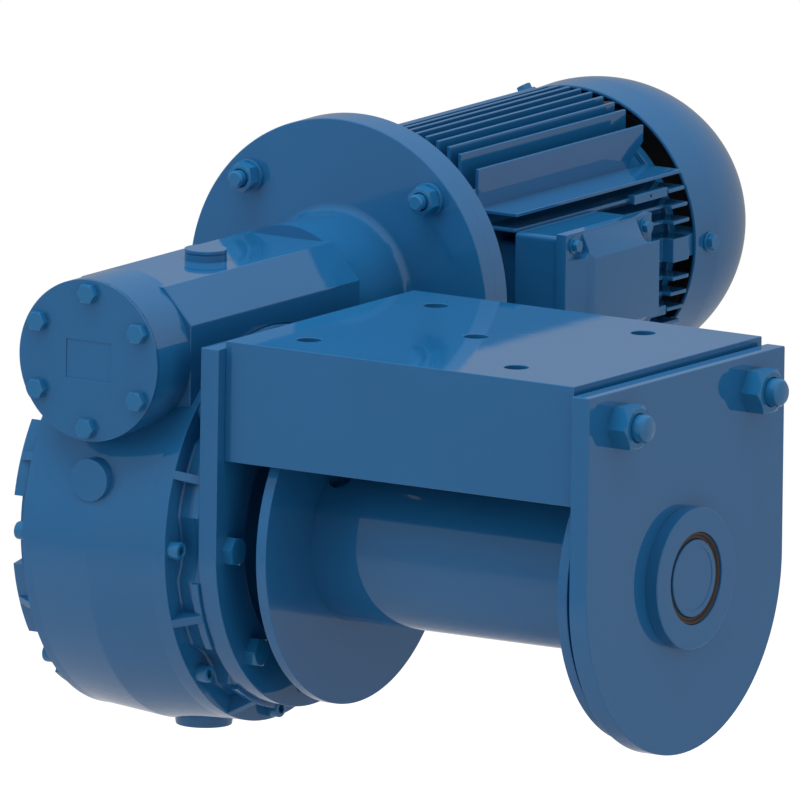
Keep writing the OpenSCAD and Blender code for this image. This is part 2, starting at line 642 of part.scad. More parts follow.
gear_side_plate();
bearing_side_plate();
mounting_plate();
front_apron();
rear_apron();
front_tie_rod();
rear_tie_rod();
tie_rod_nuts();
bearing_boss();
shaft_bearing();
shaft_seal();
drum_barrel();
gear_side_rope_flange();
bearing_side_rope_flange();
drum_shaft();
gear_housing();
inner_cover();
outer_cover();
inner_cover_screws();
outer_cover_screws();
side_plate_bolts();
oil_filler_cap();
worm_end_cover();
worm_cover_bolts();
motor_adapter();
motor_flange();
flange_studs();
motor_frame();
top_fins();
near_side_fins();
far_side_fins();
bottom_fins();
rear_end_shield();
fan();
fan_cowl();
fan_guard();
cowl_screws();
terminal_box();
terminal_box_lid();
lid_screws();
cable_gland();
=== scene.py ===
"""Electric worm-gear winch: a flanged rope drum between two round-footed plates, a ribbed
worm gearbox on one end and a finned flange motor along the back, all in one glossy blue."""
import bmesh
import bpy
import numpy as np
from math import cos, pi, radians, sin, sqrt
from mathutils import Matrix, Vector


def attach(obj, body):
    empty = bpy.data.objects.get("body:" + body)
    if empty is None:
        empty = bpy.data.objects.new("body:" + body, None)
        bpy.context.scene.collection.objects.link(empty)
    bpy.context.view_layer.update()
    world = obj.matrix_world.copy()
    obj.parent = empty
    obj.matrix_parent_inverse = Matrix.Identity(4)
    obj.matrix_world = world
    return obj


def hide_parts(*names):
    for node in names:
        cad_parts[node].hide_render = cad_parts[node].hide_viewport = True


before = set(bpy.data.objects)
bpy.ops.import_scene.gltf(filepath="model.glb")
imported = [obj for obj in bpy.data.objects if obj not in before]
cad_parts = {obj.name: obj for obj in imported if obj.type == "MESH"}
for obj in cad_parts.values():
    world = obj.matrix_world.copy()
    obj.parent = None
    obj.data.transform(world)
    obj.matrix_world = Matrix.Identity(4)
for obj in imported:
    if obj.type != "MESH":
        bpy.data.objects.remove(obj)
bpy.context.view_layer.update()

# --- Camera ---------------------------------------------------------------------------
# A parallel view from the front right, a little above, as the photograph is.
eye = bpy.data.cameras.new("winch_camera")
eye.type, eye.ortho_scale, eye.clip_end = "ORTHO", 0.566685, 400.0
camera = bpy.data.objects.new("winch_camera", eye)
back = Vector((0.5324, -0.8261, 0.1843)).normalized()
up = back.cross(Vector((0.8391, 0.5437, 0.01327))).normalized()
right = up.cross(back)
aim = Vector((-0.0509, -0.0426, -0.0436))
camera.matrix_world = Matrix.Translation(aim + back * 125.93) @ Matrix((right, up, back)).transposed().to_4x4()
bpy.context.scene.collection.objects.link(camera)
bpy.context.scene.camera = camera
bpy.context.scene.view_settings.view_transform = "Standard"

# --- Studio ---------------------------------------------------------------------------
# Paper all round that is white to the camera and grey to the paint, a pale floor below the
# hanging winch that fades into it, and three large soft lamps: one overhead, one from the
# front left and a weak one from the right.
sky = bpy.data.worlds.new("studio")
bpy.context.scene.world = sky
sky.use_nodes = True
paper = sky.node_tree
paper.nodes.clear()
shown = paper.nodes.new("ShaderNodeLightPath")
bright = paper.nodes.new("ShaderNodeMath")
bright.operation = "ADD"
paper.links.new(shown.outputs["Is Camera Ray"], bright.inputs[0])
paper.links.new(shown.outputs["Is Transmission Ray"], bright.inputs[1])
# Reflections see a grey, a little paler towards the front right: 0.53 + 0.24 x - 0.1 y + 0.08 z
way = paper.nodes.new("ShaderNodeTexCoord")
tilt = paper.nodes.new("ShaderNodeVectorMath")
tilt.operation = "DOT_PRODUCT"
tilt.inputs[1].default_value = (0.24, -0.10, 0.08)
level = paper.nodes.new("ShaderNodeMath")
level.inputs[1].default_value = 0.53
paper.links.new(way.outputs["Generated"], tilt.inputs[0])
paper.links.new(tilt.outputs["Value"], level.inputs[0])
seen = paper.nodes.new("ShaderNodeMix")
seen.data_type = "RGBA"
seen.inputs[6].default_value = (0.62, 0.62, 0.64, 1)
seen.inputs[7].default_value = (1, 1, 1, 1)
paper.links.new(bright.outputs[0], seen.inputs[0])
gloss = paper.nodes.new("ShaderNodeMix")
gloss.data_type = "RGBA"
paper.links.new(shown.outputs["Is Glossy Ray"], gloss.inputs[0])
paper.links.new(seen.outputs[2], gloss.inputs[6])
paper.links.new(level.outputs[0], gloss.inputs[7])
glow = paper.nodes.new("ShaderNodeBackground")
paper.links.new(gloss.outputs[2], glow.inputs["Color"])
world_out = paper.nodes.new("ShaderNodeOutputWorld")
paper.links.new(glow.outputs[0], world_out.inputs[0])

sweep_mesh = bpy.data.meshes.new("sweep")
FLOOR_HALF, FLOOR_Z = 2.9, -0.62
floor_corners = [(x * FLOOR_HALF, y * FLOOR_HALF, FLOOR_Z) for x, y in ((-1, -1), (1, -1), (1, 1), (-1, 1))]
sweep_mesh.from_pydata(floor_corners, [], [(0, 1, 2, 3)])
sweep = bpy.data.objects.new("sweep", sweep_mesh)
bpy.context.scene.collection.objects.link(sweep)
white = bpy.data.materials.new("pale_floor")
white.use_nodes = True
lay_out = white.node_tree
lay_out.nodes.clear()
matt = lay_out.nodes.new("ShaderNodeBsdfDiffuse")
matt.inputs["Color"].default_value = (0.52, 0.52, 0.525, 1)
shine = lay_out.nodes.new("ShaderNodeEmission")
seen_by = lay_out.nodes.new("ShaderNodeLightPath")
share = lay_out.nodes.new("ShaderNodeMath")
share.operation = "MULTIPLY"
lay_out.links.new(seen_by.outputs["Is Camera Ray"], share.inputs[0])
lay_out.links.new(share.outputs[0], shine.inputs["Strength"])
both = lay_out.nodes.new("ShaderNodeAddShader")
lay_out.links.new(matt.outputs[0], both.inputs[0])
lay_out.links.new(shine.outputs[0], both.inputs[1])
# The floor is whole near its middle and clear at its edge
spot = lay_out.nodes.new("ShaderNodeTexCoord")
reach = lay_out.nodes.new("ShaderNodeVectorMath")
reach.operation = "LENGTH"
fade = lay_out.nodes.new("ShaderNodeMapRange")
fade.interpolation_type = "SMOOTHSTEP"
fade.inputs["From Min"].default_value, fade.inputs["From Max"].default_value = 1.1, 2.8
clear = lay_out.nodes.new("ShaderNodeBsdfTransparent")
edge = lay_out.nodes.new("ShaderNodeMixShader")
lay_out.links.new(spot.outputs["Object"], reach.inputs[0])
# It shows a soft shadow right below the winch, and pure white beyond it
lift = lay_out.nodes.new("ShaderNodeMapRange")
lift.inputs["From Min"].default_value, lift.inputs["From Max"].default_value = 0.7, 1.2
lift.inputs["To Min"].default_value, lift.inputs["To Max"].default_value = 0.36, 0.8
lay_out.links.new(reach.outputs["Value"], lift.inputs["Value"])
lay_out.links.new(lift.outputs[0], share.inputs[1])
lay_out.links.new(reach.outputs["Value"], fade.inputs["Value"])
lay_out.links.new(fade.outputs[0], edge.inputs[0])
lay_out.links.new(both.outputs[0], edge.inputs[1])
lay_out.links.new(clear.outputs[0], edge.inputs[2])
sweep_out = lay_out.nodes.new("ShaderNodeOutputMaterial")
lay_out.links.new(edge.outputs[0], sweep_out.inputs[0])
sweep_mesh.materials.append(white)


def soft_lamp(name, place, size, watts):
    """A square lamp at a place, turned to the middle of the winch."""
    lamp = bpy.data.lights.new(name, "AREA")
    lamp.size, lamp.energy = size, watts
    stand = bpy.data.objects.new(name, lamp)
    stand.location = place
    stand.rotation_euler = (aim - Vector(place)).to_track_quat("-Z", "Y").to_euler()
    stand.visible_glossy = False
    bpy.context.scene.collection.objects.link(stand)


soft_lamp("overhead", (-0.4, -0.3, 2.6), 2.4, 80)
soft_lamp("front_left", (-2.0, -2.2, 0.9), 2.0, 25)
soft_lamp("right", (2.8, -0.9, 0.4), 1.8, 11)

# --- Gear side plate ------------------------------------------------------------------
# 15 mm steel plate, flame cut with a round foot, bored for the gearbox's spigot and
# drilled for the tie rods, its edges eased, bolted against the gearbox.
DRUM = np.array([-147.0, -4.0, -152.4])
X, Y, Z = np.eye(3)
PLATE_T, PLATE_W, PLATE_RISE, PLATE_GAP = 15.0, 255.0, 147.4, 298.0
ROD_Y, ROD_Z, ROD_D = 86.8, 122.1, 20.0


def circle(radius, at=(0, 0), sides=96):
    """Points on a circle: centre plus radius times (cos, sin) of the angle."""
    turn = np.linspace(0, 2 * pi, sides, endpoint=False)
    return np.c_[at[0] + radius * np.cos(turn), at[1] + radius * np.sin(turn)]


def soften(corners, radius, steps=4, closed=True):
    """Rounds the corners of a line: each becomes (1-s)^2 A + 2s(1-s) B + s^2 C, where B is
    the corner and A and C lie a radius (at most half the side) before and after it."""
    mid = np.asarray(corners, float)
    before, after = np.roll(mid, 1, 0), np.roll(mid, -1, 0)
    if not closed:
        before[0], after[-1] = mid[0], mid[-1]
    reach = np.broadcast_to(np.asarray(radius, float), len(mid))[:, None]

    def towards(other):
        gap = other - mid
        length = np.linalg.norm(gap, axis=1, keepdims=True)
        return mid + gap * np.minimum(reach / np.maximum(length, 1e-9), 0.5)

    s = np.linspace(0, 1, steps + 1)[None, :, None]
    a, b, c = towards(before)[:, None], mid[:, None], towards(after)[:, None]
    line = ((1 - s) ** 2 * a + 2 * s * (1 - s) * b + s * s * c).reshape(-1, 2)
    keep = np.linalg.norm(line - np.roll(line, 1, 0), axis=1) > 1e-6
    keep[0] |= not closed
    return line[keep]


def blank(outer, holes, thick, edge=0.7):
    """A flat blank in XY, centred on z = 0: a filled flat curve with its outlines and holes,
    thickened by extrusion, its edges eased by a quarter round inside the outline."""
    cut = bpy.data.curves.new("blank", "CURVE")
    cut.dimensions, cut.fill_mode = "2D", "BOTH"
    cut.extrude, cut.bevel_depth, cut.bevel_resolution, cut.offset = thick / 2 - edge, edge, 2, -edge
    for line in [outer] + list(holes):
        spline = cut.splines.new("POLY")
        spline.points.add(len(line) - 1)
        spline.points.foreach_set("co", np.c_[line, np.zeros(len(line)), np.ones(len(line))].ravel())
        spline.use_cyclic_u = True
    holder = bpy.data.objects.new("blank", cut)
    bpy.context.scene.collection.objects.link(holder)
    flat = bpy.data.meshes.new_from_object(holder.evaluated_get(bpy.context.evaluated_depsgraph_get()))
    points = np.empty(len(flat.vertices) * 3)
    flat.vertices.foreach_get("co", points)
    faces = [tuple(f.vertices) for f in flat.polygons]
    bpy.data.objects.remove(holder)
    bpy.data.curves.remove(cut)
    bpy.data.meshes.remove(flat)
    return points.reshape(-1, 3), faces


def lay(part, a, b, at=(0, 0, 0), turn=0.0):
    """Lays a part made in XY out along the directions a and b, turned by an angle in its
    own plane: place + x a' + y b' + z (a x b)."""
    points, faces = part
    c, s = cos(radians(turn)), sin(radians(turn))
    a2, b2 = c * a + s * b, -s * a + c * b
    return points @ np.stack([a2, b2, np.cross(a, b)]) + np.asarray(at, float), faces


def paint_film():
    """Shader group for sprayed paint. Its colour is the paint's, lighter or darker by a slow
    noise; its roughness is the film's, by a finer one; its height is orange peel over the
    grain of the metal below."""
    group = bpy.data.node_groups.new("paint_film", "ShaderNodeTree")
    for name, kind in (("Colour", "NodeSocketColor"), ("Shade", "NodeSocketFloat"), ("Gloss", "NodeSocketFloat"),
                       ("Grain", "NodeSocketFloat"), ("Peel", "NodeSocketFloat")):
        group.interface.new_socket(name=name, in_out="INPUT", socket_type=kind)
    for name, kind in (("Colour", "NodeSocketColor"), ("Roughness", "NodeSocketFloat"), ("Height", "NodeSocketFloat")):
        group.interface.new_socket(name=name, in_out="OUTPUT", socket_type=kind)
    add, join = group.nodes.new, group.links.new
    given, result = add("NodeGroupInput"), add("NodeGroupOutput")
    place = add("ShaderNodeTexCoord")

    def noise(scale, detail):
        node = add("ShaderNodeTexNoise")
        node.inputs["Scale"].default_value, node.inputs["Detail"].default_value = scale, detail
        join(place.outputs["Object"], node.inputs["Vector"])
        return node.outputs["Fac"]

    def math(kind, *values):
        node = add("ShaderNodeMath")
        node.operation = kind
        for socket, value in zip(node.inputs, values):
            if isinstance(value, float):
                socket.default_value = value
            else:
                join(value, socket)
        return node.outputs[0]

    slow = math("SUBTRACT", noise(9.0, 3.0), 0.5)
    level = math("ADD", 1.0, math("MULTIPLY", slow, given.outputs["Shade"]))
    tint = add("ShaderNodeVectorMath")
    tint.operation = "SCALE"
    join(given.outputs["Colour"], tint.inputs[0])
    join(level, tint.inputs["Scale"])
    join(tint.outputs[0], result.inputs["Colour"])
    film = math("MULTIPLY", math("SUBTRACT", noise(60.0, 2.0), 0.5), 0.02)
    join(math("ADD", given.outputs["Gloss"], film), result.inputs["Roughness"])
    peel = math("MULTIPLY", noise(420.0, 1.0), given.outputs["Peel"])
    grain = math("MULTIPLY", noise(1500.0, 4.0), given.outputs["Grain"])
    join(math("ADD", peel, grain), result.inputs["Height"])
    return group


film = paint_film()
BLUE = (0.011, 0.103, 0.252)


def painted(name, colour=BLUE, shade=0.12, gloss=0.015, grain=0.1, peel=0.15, depth=0.00004):
    """A gloss paint: the film group feeds colour and roughness, and its height a bump."""
    paint = bpy.data.materials.new(name)
    paint.use_nodes = True
    tree = paint.node_tree
    surface = tree.nodes["Principled BSDF"]
    coat = tree.nodes.new("ShaderNodeGroup")
    coat.node_tree = film
    coat.inputs["Colour"].default_value = (*colour, 1)
    for socket, value in (("Shade", shade), ("Gloss", gloss), ("Grain", grain), ("Peel", peel)):
        coat.inputs[socket].default_value = value
    bump = tree.nodes.new("ShaderNodeBump")
    bump.inputs["Distance"].default_value = depth
    tree.links.new(coat.outputs["Colour"], surface.inputs["Base Color"])
    tree.links.new(coat.outputs["Roughness"], surface.inputs["Roughness"])
    tree.links.new(coat.outputs["Height"], bump.inputs["Height"])
    tree.links.new(bump.outputs["Normal"], surface.inputs["Normal"])
    surface.inputs["IOR"].default_value = 1.5
    return paint


def assemble(name, parts, paint, body="winch_frame", origin=DRUM, crease=34):
    """Joins parts, given in mm from an origin, into one piece in metres: doubles are merged,
    faces turned outwards, edges sharper than the crease kept, and big flats weighted."""
    points, faces, count = [], [], 0
    for some, linked in parts:
        points.append(np.asarray(some, float))
        faces += [tuple(int(v) + count for v in f) for f in linked]
        count += len(some)
    mesh = bpy.data.meshes.new(name)
    mesh.from_pydata(((np.concatenate(points) + origin) * 0.001).tolist(), [], faces)
    work = bmesh.new()
    work.from_mesh(mesh)
    bmesh.ops.remove_doubles(work, verts=work.verts, dist=2e-6)
    bmesh.ops.recalc_face_normals(work, faces=work.faces)
    work.to_mesh(mesh)
    work.free()
    mesh.shade_smooth()
    mesh.set_sharp_from_angle(angle=radians(crease))
    mesh.materials.append(paint)
    piece = bpy.data.objects.new(name, mesh)
    bpy.context.scene.collection.objects.link(piece)
    weigh = piece.modifiers.new("flats", "WEIGHTED_NORMAL")
    weigh.keep_sharp, weigh.weight = True, 80
    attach(piece, body)
    node = name.replace("_finish", "")
    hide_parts(node)
    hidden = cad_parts[node].data.materials
    hidden.clear()
    hidden.append(paint)


frame_paint = painted("frame_paint")
foot_turn = np.linspace(pi, 2 * pi, 97)
foot = PLATE_W / 2 * np.c_[np.cos(foot_turn), np.sin(foot_turn)]
plate_line = soften(np.r_[foot, [(PLATE_W / 2, PLATE_RISE), (-PLATE_W / 2, PLATE_RISE)]], [0.0] * 97 + [1.2, 1.2])
rod_holes = [circle(ROD_D / 2 + 0.1, (y, ROD_Z), 48) for y in (-ROD_Y, ROD_Y)]
gear_plate = blank(plate_line, [circle(90)] + rod_holes, PLATE_T)
assemble("gear_side_plate_finish", [lay(gear_plate, Y, Z, (-PLATE_T / 2, 0, 0))], frame_paint)

# --- Bearing side plate ---------------------------------------------------------------
# The same 15 mm blank at the other end, bored for the bearing boss's spigot and drilled
# for the ends of the tie rods, which clamp it.
end_holes = [circle(10.4, (y, ROD_Z), 48) for y in (-ROD_Y, ROD_Y)]
bearing_plate = blank(plate_line, [circle(42.2)] + end_holes, PLATE_T)
assemble("bearing_side_plate_finish", [lay(bearing_plate, Y, Z, (PLATE_GAP + PLATE_T / 2, 0, 0))],
         frame_paint)

# --- Mounting plate and aprons --------------------------------------------------------
# A drilled 12 mm plate welded to a 10 mm apron at front and back, the joints ground
# flush and painted over, so that plate and aprons read as one channel.
HOLES_X, MOUNT_HOLE_R, HALF_L = -15.0, 8.75, 147.0
corners = [(HOLES_X + x, y) for x in (-87.5, 87.5) for y in (-82.5, 82.5)]
drilled = [circle(MOUNT_HOLE_R, place, 64) for place in [(HOLES_X, 0)] + corners]
sheet_line = soften([(-HALF_L, -122.5), (HALF_L, -122.5), (HALF_L, 122.5), (-HALF_L, 122.5)], 0.8)
assemble("mounting_plate_finish", [lay(blank(sheet_line, drilled, 12, 0.6), X, Y, (0, 0, -6))],
         frame_paint, origin=np.zeros(3))
PROUD = 0.02
half = HALF_L + PROUD
apron_line = soften([(-half, -86.7), (half, -86.7), (half, -0.7), (-half, -0.7)], [0.8, 0.8, 0, 0])
for name, y in (("front_apron", -117.5), ("rear_apron", 117.5)):
    # Each runs up over the plate's edge, a little proud of it, so that no joint shows
    assemble(name + "_finish", [lay(blank(apron_line, [], 10 + 2 * PROUD, 0.6), X, Z, (0, y, 0))],
             frame_paint, origin=np.zeros(3))

# --- Tie rods and nuts ----------------------------------------------------------------
# Two M20 rods hold the plates together: bars whose chamfered ends, painted over with the
# rest, stand out of the hexagon nuts.


def grid(rows, cols, wrap_rows=False, wrap_cols=True):
    """Quads of a grid of points: each joins its point to the next in both directions."""
    i = np.arange(rows if wrap_rows else rows - 1)[:, None]
    j = np.arange(cols if wrap_cols else cols - 1)[None, :]
    i2, j2 = (i + 1) % rows, (j + 1) % cols
    return np.stack([i * cols + j, i * cols + j2, i2 * cols + j2, i2 * cols + j], -1).reshape(-1, 4)


def turned(profile, axis=X, at=(0, 0, 0), sides=128, closed=False):
    """A lathe form: the profile's (along, radius) points swept round an axis, with radius
    times cos and sin on the two directions across it."""
    along, radius = np.asarray(profile, float).T
    side = Y if axis is X else Z if axis is Y else X
    other = np.cross(axis, side)
    t = np.linspace(0, 2 * pi, sides, endpoint=False)
    ring = np.cos(t)[:, None] * side + np.sin(t)[:, None] * other
    points = along[:, None, None] * axis + radius[:, None, None] * ring[None] + np.asarray(at, float)
    return points.reshape(-1, 3), grid(len(along), sides, wrap_rows=closed)


def flat_angle(t):
    """The angle from the nearest of a hexagon's six flats."""
    return (t + pi / 6) % (pi / 3) - pi / 6


def hexagon(across, height, bore=0.0, sides=72):
    """A hexagon head or nut on z = 0. The rim's radius is half the width across flats over
    cos of the angle from the nearest flat; the top is turned off at 30 degrees outside
    the chamfer circle, which leaves the curved corners; a nut has a countersunk bore."""
    t = np.linspace(0, 2 * pi, sides, endpoint=False)
    rim = across / 2 / np.cos(flat_angle(t))
    crown = 0.95 * across / 2 + 0 * t
    low = height - (rim - crown) * np.tan(pi / 6)
    flat = 0 * t
    inner = flat + bore / 2
    mouth, sink = (bore / 2 + 0.8, 1.0) if bore else (0.3, 0.0)
    radius = np.stack([inner, rim, rim, crown, flat + mouth, inner, inner])
    z = np.stack([flat, flat, low, flat + height, flat + height, flat + height - sink, flat])
    points = np.stack([radius * np.cos(t), radius * np.sin(t), z], -1)
    return points.reshape(-1, 3), grid(7, sides)


fastener_paint = painted("fastener_paint", colour=(0.010, 0.118, 0.275), shade=0.05, gloss=0.06, grain=0.0, peel=0.2)
ROD_END = PLATE_GAP + PLATE_T + 16 + 9
for name, y in (("front_tie_rod", -ROD_Y), ("rear_tie_rod", ROD_Y)):
    bar = turned([(-14, 0), (-14, 9.2), (-13.2, 10), (ROD_END - 2.2, 10), (ROD_END, 7.8), (ROD_END, 0)],
                 at=(0, y, ROD_Z), sides=64)
    assemble(name + "_finish", [bar], fastener_paint, crease=50)
assemble("tie_rod_nuts_finish",
         [lay(hexagon(30, 16, 20.2), Y, Z, (PLATE_GAP + PLATE_T, y, ROD_Z), 30) for y in (-ROD_Y, ROD_Y)],
         fastener_paint, crease=25)

# --- Bearing boss, bearing and seal ---------------------------------------------------
# A turned ring pressed into the bearing plate carries the shaft's bearing, and a dark
# rubber lip seal closes it round the shaft.
OUTER = PLATE_GAP + PLATE_T
boss_line = soften([(PLATE_GAP, 33.3), (PLATE_GAP, 41.9), (OUTER, 41.9), (OUTER, 51.1), (OUTER + 10.1, 51.1),
                    (OUTER + 10.1, 33.3)], [0.4, 0.4, 0, 0.3, 1.2, 0.7])
assemble("bearing_boss_finish", [turned(boss_line, closed=True, sides=160)], frame_paint)
bearing_steel = bpy.data.materials.new("bearing_steel")
bearing_steel.use_nodes = True
ground = bearing_steel.node_tree.nodes["Principled BSDF"]
ground.inputs["Base Color"].default_value = (0.55, 0.55, 0.56, 1)
ground.inputs["Metallic"].default_value = 1.0
marks = bearing_steel.node_tree.nodes.new("ShaderNodeTexNoise")
marks.inputs["Scale"].default_value = 700
rough = bearing_steel.node_tree.nodes.new("ShaderNodeMapRange")
rough.inputs["To Min"].default_value, rough.inputs["To Max"].default_value = 0.22, 0.4
bearing_place = bearing_steel.node_tree.nodes.new("ShaderNodeTexCoord")
bearing_steel.node_tree.links.new(bearing_place.outputs["Object"], marks.inputs["Vector"])
bearing_steel.node_tree.links.new(marks.outputs["Fac"], rough.inputs["Value"])
bearing_steel.node_tree.links.new(rough.outputs[0], ground.inputs["Roughness"])
race = soften([(PLATE_GAP + 1, 27.9), (PLATE_GAP + 1, 33.2), (OUTER, 33.2), (OUTER, 27.9)], 0.5)
assemble("shaft_bearing_finish", [turned(race, closed=True)], bearing_steel)


def moulded(name, colour, roughness, grain):
    """A dull moulded material: a fine noise breaks up its colour, gloss and surface."""
    mould = bpy.data.materials.new(name)
    mould.use_nodes = True
    tree = mould.node_tree
    surface = tree.nodes["Principled BSDF"]
    skin = tree.nodes.new("ShaderNodeGroup")
    skin.node_tree = film
    skin.inputs["Colour"].default_value = (*colour, 1)
    for socket, value in (("Shade", 0.3), ("Gloss", roughness), ("Grain", grain), ("Peel", 0.1)):
        skin.inputs[socket].default_value = value
    dents = tree.nodes.new("ShaderNodeBump")
    dents.inputs["Distance"].default_value = 0.0001
    tree.links.new(skin.outputs["Colour"], surface.inputs["Base Color"])
    tree.links.new(skin.outputs["Roughness"], surface.inputs["Roughness"])
    tree.links.new(skin.outputs["Height"], dents.inputs["Height"])
    tree.links.new(dents.outputs["Normal"], surface.inputs["Normal"])
    return mould


seal_rubber = moulded("seal_rubber", (0.030, 0.017, 0.013), 0.55, 0.4)
lip = soften([(OUTER + 0.5, 28.2), (OUTER + 0.5, 33.2), (OUTER + 8.6, 33.2), (OUTER + 8.6, 31.2), (OUTER + 6.9, 30.4),
              (OUTER + 7.1, 28.2)], 0.4)
assemble("shaft_seal_finish", [turned(lip, closed=True)], seal_rubber, crease=40)

# --- Rope drum ------------------------------------------------------------------------
# A tube with a rope hole through its wall, welded between two turned rope flanges, on a
# shaft whose end is turned back round its rim.
BARREL_R, BARREL_WALL, ROPE_FLANGE_T = 61.75, 10.0, 8.4
BARREL_X0, BARREL_X1 = 29.7, 292.5
INSIDE_X0, INSIDE_X1 = BARREL_X0 + ROPE_FLANGE_T, BARREL_X1 - ROPE_FLANGE_T
drum_paint = painted("drum_paint", shade=0.08)
HOLE_X, HOLE_R, HOLE_ANGLE = 47.6, 9.0, radians(130)


def drilled_tube(sides=360):
    """The barrel's outer skin and its rope hole: points of the tube (x, angle) within 0.8 mm
    of the hole's circle move on to it, by its radius over their distance from its middle,
    and those inside it sink by the wall."""
    x = np.r_[INSIDE_X0, np.linspace(INSIDE_X0 + 0.1, HOLE_X + 16, 60), np.linspace(HOLE_X + 20, INSIDE_X1, 24)]
    t = np.linspace(0, 2 * pi, sides, endpoint=False)
    xx, tt = np.meshgrid(x, t, indexing="ij")
    across, sweep_by = xx - HOLE_X, BARREL_R * ((tt - HOLE_ANGLE + pi) % (2 * pi) - pi)
    far = np.hypot(across, sweep_by)
    near = np.abs(far - HOLE_R) < 0.8
    shift = np.where(near, HOLE_R / np.maximum(far, 1e-6), 1.0)
    xx = HOLE_X + across * shift
    tt = HOLE_ANGLE + sweep_by * shift / BARREL_R
    radius = BARREL_R - np.where((far < HOLE_R) & ~near, BARREL_WALL - 0.1, 0.0)
    points = np.stack([xx, radius * np.cos(tt), radius * np.sin(tt)], -1)
    return points.reshape(-1, 3), grid(len(x), sides)


inner_wall = turned([(INSIDE_X0, BARREL_R), (INSIDE_X0, BARREL_R - BARREL_WALL), (INSIDE_X1, BARREL_R - BARREL_WALL),
                     (INSIDE_X1, BARREL_R)], sides=96)
assemble("drum_barrel_finish", [drilled_tube(), inner_wall], drum_paint, body="drum")
for name, x in (("gear_side_rope_flange", BARREL_X0), ("bearing_side_rope_flange", INSIDE_X1)):
    disc = soften([(x, 27.0), (x, 121.5), (x + ROPE_FLANGE_T, 121.5), (x + ROPE_FLANGE_T, 27.0)], [0, 0.8, 0.8, 0])
    assemble(name + "_finish", [turned(disc, closed=True, sides=240)], drum_paint, body="drum")
END = OUTER + 8.6
shaft_line = soften([(-24, 0), (-24, 27.85), (END, 27.85), (END, 23.25), (END - 0.6, 23.05), (END - 0.6, 0)],
                    [0, 0.5, 1.0, 0.15, 0.15, 0], closed=False)
assemble("drum_shaft_finish", [turned(shaft_line, sides=160)], drum_paint, body="drum")

# --- Gear housing ---------------------------------------------------------------------
# One iron casting: a drum-shaped gear case, fullest at its middle, with the worm's case
# cast across its top, faceted behind a round snout, a blank boss and a drain boss.
HOUSING_R, HOUSING_END_R, GEAR_X, SNOUT_R = 146.2, 141.5, -97.3, 58.25
gearbox_paint = painted("gearbox_paint", shade=0.14, grain=0.2, peel=0.2)


def drawn(outline, stations, a, b, at=(0, 0, 0)):
    """A profile carried along a path: the outline in (a, b) stands at each (along, inset)
    station, moved in along its normals by the inset, and each end closes to its middle."""
    line = np.asarray(outline, float)
    ahead = np.roll(line, -1, 0) - np.roll(line, 1, 0)
    normal = np.c_[ahead[:, 1], -ahead[:, 0]] / np.maximum(np.linalg.norm(ahead, axis=1, keepdims=True), 1e-9)
    area = np.sum(line[:, 0] * np.roll(line[:, 1], -1) - np.roll(line[:, 0], -1) * line[:, 1])
    normal *= np.sign(area)
    along, inset = np.asarray(stations, float).T
    along, inset = np.r_[along[0], along, along[-1]], np.r_[inset[0], inset, inset[-1]]
    rows = line[None] - inset[:, None, None] * normal[None]
    rows[0] = rows[-1] = line.mean(0)
    c = np.cross(a, b)
    points = rows[..., :1] * a + rows[..., 1:] * b + along[:, None, None] * c + np.asarray(at, float)
    return points.reshape(-1, 3), grid(len(along), len(line))


def eased_ends(start, end, edge=1.0):
    """Stations from start to end whose last millimetres turn in by a quarter round."""
    turn = np.linspace(0, pi / 2, 5)
    first = np.c_[start + edge * (1 - np.sin(turn)), edge * (1 - np.cos(turn))][::-1]
    last = np.c_[end - edge * (1 - np.sin(turn)), edge * (1 - np.cos(turn))]
    return np.r_[first, last]


case = soften([(GEAR_X - 50, 0), (GEAR_X - 50, HOUSING_END_R), (GEAR_X, HOUSING_R), (GEAR_X + 50, HOUSING_END_R),
               (GEAR_X + 50, 0)], [0, 0, 1.5, 0, 0], closed=False)
WORM_AT = np.array([GEAR_X, 0, 131.6])


def worm_case(start=-102.9, end=117.0, edge=1.2):
    """The faceted case carried along Y. Its outline's side walls stop above the covers'
    rims, at root(rim^2 - y^2) over the drum's axis; both ends turn in by a quarter round."""
    stations = eased_ends(start, end, edge)
    y = np.r_[stations[:5, 0], np.linspace(start + 2, end - 2, 40), stations[5:, 0]]
    inset = np.r_[stations[:5, 1], np.zeros(40), stations[5:, 1]]
    low = np.minimum(np.sqrt((HOUSING_END_R + 0.4) ** 2 - y ** 2) - WORM_AT[2], 24)
    rows = []
    for d, foot_z in zip(inset, low):
        side = SNOUT_R - d
        right_half = [(35 - 0.6 * d, 50.3 - d), (side, 25 - 0.4 * d), (side, foot_z), (50, foot_z), (50, -50)]
        left_half = [(-a, b) for a, b in right_half[::-1]]
        rows.append(soften(left_half + right_half, [0, 0, 0.5, 0.5, 0.6, 0.6, 0.5, 0.5, 0, 0], 3))
    rows = np.array(rows)
    ends = [np.broadcast_to(row.mean(0), row.shape)[None] for row in (rows[0], rows[-1])]
    rows = np.concatenate([ends[0], rows, ends[1]])
    along = np.broadcast_to(np.r_[y[0], y, y[-1]][:, None], rows.shape[:2])
    points = np.stack([rows[..., 0], along, rows[..., 1]], -1).reshape(-1, 3)
    return points + WORM_AT, grid(*rows.shape[:2])


snout = turned([(-134.9, 0), (-134.9, SNOUT_R), (-95, SNOUT_R), (-95, 0)], Y, WORM_AT, 160)
blank_boss = turned(soften([(-110, 0), (-110, 15.3), (-144.4, 15.3), (-144.4, 0)], [0, 0, 0.7, 0], closed=False),
                    Y, (GEAR_X, 0, 45), 72)
drain_boss = turned(soften([(-131, 0), (-131, 23), (-151, 20), (-151, 0)], [0, 0, 0.8, 0], closed=False),
                    Z, (GEAR_X + 7, 0, 0), 72)
assemble("gear_housing_finish", [turned(case, sides=240), worm_case(), snout, blank_boss, drain_boss],
         gearbox_paint, crease=38)

